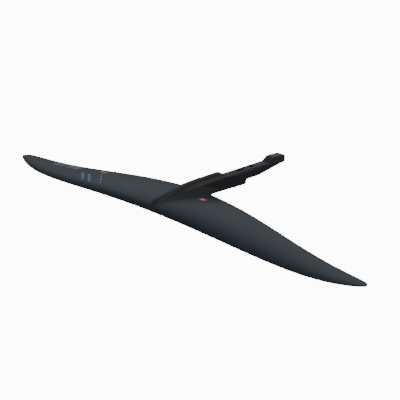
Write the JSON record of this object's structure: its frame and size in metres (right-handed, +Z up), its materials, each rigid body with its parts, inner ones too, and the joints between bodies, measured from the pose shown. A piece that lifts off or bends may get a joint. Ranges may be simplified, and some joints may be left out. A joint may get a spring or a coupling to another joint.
{
  "type": "hydrofoil front wing",
  "caption": "High aspect hydrofoil front wing with raked, drooping tips, a short fuselage with a tenon for the mast and a hooked tail.",
  "frame": {"origin": "midway between the two mast screws, on the tenon's flat top", "axes": "+X along the span to the right half, -Y to the nose and +Y to the tail hook, +Z up"},
  "size_m": [1.02, 0.402, 0.0677],
  "materials": {
    "carbon_skin": "satin carbon laminate",
    "carbon_body": "satin carbon laminate",
    "hook_carbon": "satin",
    "inner_laminate": "matte laminate",
    "foam": "matte closed-cell foam",
    "bush_steel": "turned",
    "film_pale": "matte print film",
    "film_yellow": "matte print film",
    "badge_red": "gloss",
    "badge_pale": "gloss"
  },
  "bodies": {
    "root": {"upper_skin": "carbon_skin", "lower_skin": "carbon_skin", "ridge_shell": "carbon_body", "keel_shell": "carbon_body", "tenon_block": "carbon_body", "tail_hook": "hook_carbon", "mast_screw_bushes": "bush_steel", "film_bars": "film_pale", "film_lines": "film_pale", "film_accent": "film_yellow", "badge_ring": "badge_red", "badge_centre": "badge_pale", "leading_edge_strip": "inner_laminate", "trailing_edge_strip": "inner_laminate", "spar_cap_upper": "inner_laminate", "spar_cap_lower": "inner_laminate", "shear_web_left": "inner_laminate", "shear_web_right": "inner_laminate", "tip_block_left": "inner_laminate", "tip_block_right": "inner_laminate", "root_block": "inner_laminate", "foam_core_front_left": "foam", "foam_core_front_right": "foam", "foam_core_rear_left": "foam", "foam_core_rear_right": "foam", "ridge_core": "foam"}
  },
  "joints": []
}
